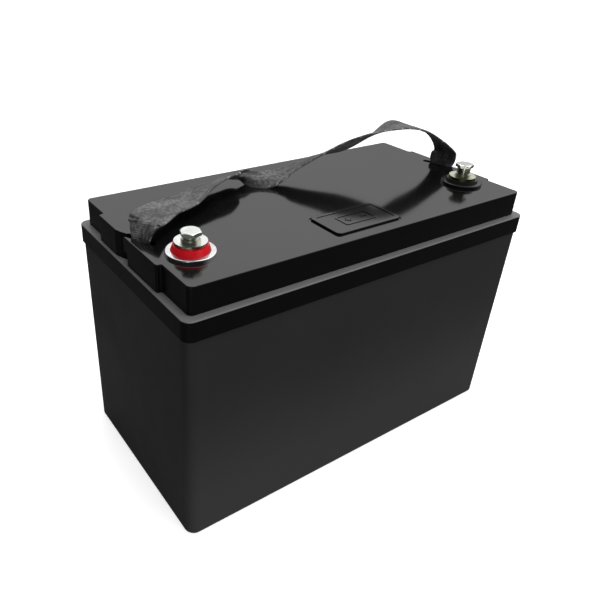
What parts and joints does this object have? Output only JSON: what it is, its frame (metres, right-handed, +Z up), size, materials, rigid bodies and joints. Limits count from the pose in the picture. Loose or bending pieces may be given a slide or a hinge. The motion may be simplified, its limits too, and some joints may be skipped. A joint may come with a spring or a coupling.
{
  "type": "battery pack",
  "caption": "Rectangular sealed battery pack with a stepped lid, bolt terminals near one long edge and a twisted webbing carrying strap.",
  "frame": {"origin": "centre of the underside of the case", "axes": "+X along the length towards the negative terminal, +Z up, the terminals stand near the -Y side"},
  "size_m": [0.33, 0.171, 0.2525],
  "materials": {
    "case_plastic": "satin moulded ABS",
    "lid_plastic": "glossy moulded ABS",
    "gasket_rubber": "moulded",
    "badge_plastic": "moulded",
    "seat_bright": "smooth",
    "seat_dark": "smooth",
    "polarity_red": "smooth",
    "polarity_black": "smooth",
    "terminal_brass": "machined",
    "zinc_clear": "bright zinc plated",
    "zinc_yellow": "yellow zinc plated",
    "copper_tinned": "tinned copper",
    "webbing": "woven nylon webbing",
    "bar_steel": "plain",
    "cell_can": "heat-shrink film over an aluminium can",
    "busbar_nickel": "nickel plated",
    "nut_steel": "plated",
    "separator_sheet": "flat sheet",
    "end_plate_alloy": "mill",
    "band_plastic": "strapping",
    "foam": "closed-cell foam",
    "tray_sheet": "glass-filled sheet",
    "board_green": "solder resist",
    "spacer_nylon": "moulded",
    "heat_sink_alloy": "extruded",
    "connector_white": "moulded",
    "lead_red": "silicone",
    "lead_black": "silicone",
    "sense_wire": "silicone"
  },
  "bodies": {
    "pack": {"badge_plate": "badge_plastic", "base_pad": "foam", "board_screws": "nut_steel", "board_spacers": "spacer_nylon", "board_tray": "tray_sheet", "busbar_1": "busbar_nickel", "busbar_2": "busbar_nickel", "busbar_3": "busbar_nickel", "busbar_nuts": "nut_steel", "case_body": "case_plastic", "cell_1": "cell_can", "cell_2": "cell_can", "cell_3": "cell_can", "cell_4": "cell_can", "cell_band_lower": "band_plastic", "cell_band_upper": "band_plastic", "cell_separator_1": "separator_sheet", "cell_separator_2": "separator_sheet", "cell_separator_3": "separator_sheet", "end_plate_left": "end_plate_alloy", "end_plate_right": "end_plate_alloy", "foam_block_left": "foam", "foam_block_right": "foam", "heat_sink": "heat_sink_alloy", "hold_down_block_left": "foam", "hold_down_block_right": "foam", "lead_negative": "lead_black", "lead_pack_negative": "lead_black", "lead_positive": "lead_red", "lid": "lid_plastic", "lid_gasket": "gasket_rubber", "lock_nut_negative": "terminal_brass", "lock_nut_positive": "terminal_brass", "management_board": "board_green", "polarity_ring_negative": "polarity_black", "polarity_ring_positive": "polarity_red", "post_lug_negative": "copper_tinned", "post_lug_positive": "copper_tinned", "seat_ring_negative": "seat_dark", "seat_ring_positive": "seat_bright", "sense_connectors": "connector_white", "sense_leads": "sense_wire", "strap_bar_left": "bar_steel", "strap_bar_right": "bar_steel", "strap_end_left": "webbing", "strap_end_right": "webbing", "terminal_insert_negative": "terminal_brass", "terminal_insert_positive": "terminal_brass", "terminal_lug_negative": "copper_tinned", "terminal_lug_positive": "copper_tinned"},
    "washers_positive": {"flat_washer_positive": "zinc_clear", "spring_washer_positive": "zinc_clear"},
    "bolt_positive": {"terminal_bolt_positive": "zinc_clear"},
    "washers_negative": {"flat_washer_negative": "zinc_yellow", "spring_washer_negative": "zinc_clear"},
    "bolt_negative": {"terminal_bolt_negative": "zinc_clear"},
    "carry_strap": {"strap_span": "webbing"}
  },
  "joints": [
    {"name": "bolt_positive_lift", "type": "slide", "parent": "pack", "child": "washers_positive", "axis": [0, 0, 1], "range_m": [0, 0.01]},
    {"name": "bolt_positive_turn", "type": "hinge", "parent": "washers_positive", "child": "bolt_positive", "pos_m": [-0.1352, -0.04, 0.2165], "axis": [0, 0, 1], "range_deg": [0, 2881]},
    {"name": "bolt_negative_lift", "type": "slide", "parent": "pack", "child": "washers_negative", "axis": [0, 0, 1], "range_m": [0, 0.01]},
    {"name": "bolt_negative_turn", "type": "hinge", "parent": "washers_negative", "child": "bolt_negative", "pos_m": [0.1322, -0.04, 0.2165], "axis": [0, 0, 1], "range_deg": [0, 2881]},
    {"name": "strap_swing", "type": "hinge", "parent": "pack", "child": "carry_strap", "pos_m": [0, 0, 0.226], "axis": [0.9992, 0.0401, 0], "range_deg": [0, 28]}
  ],
  "couplings": [
    {"joint": "bolt_positive_turn", "follows": "bolt_positive_lift", "rad_per_m": 5026.5},
    {"joint": "bolt_negative_turn", "follows": "bolt_negative_lift", "rad_per_m": 5026.5}
  ]
}
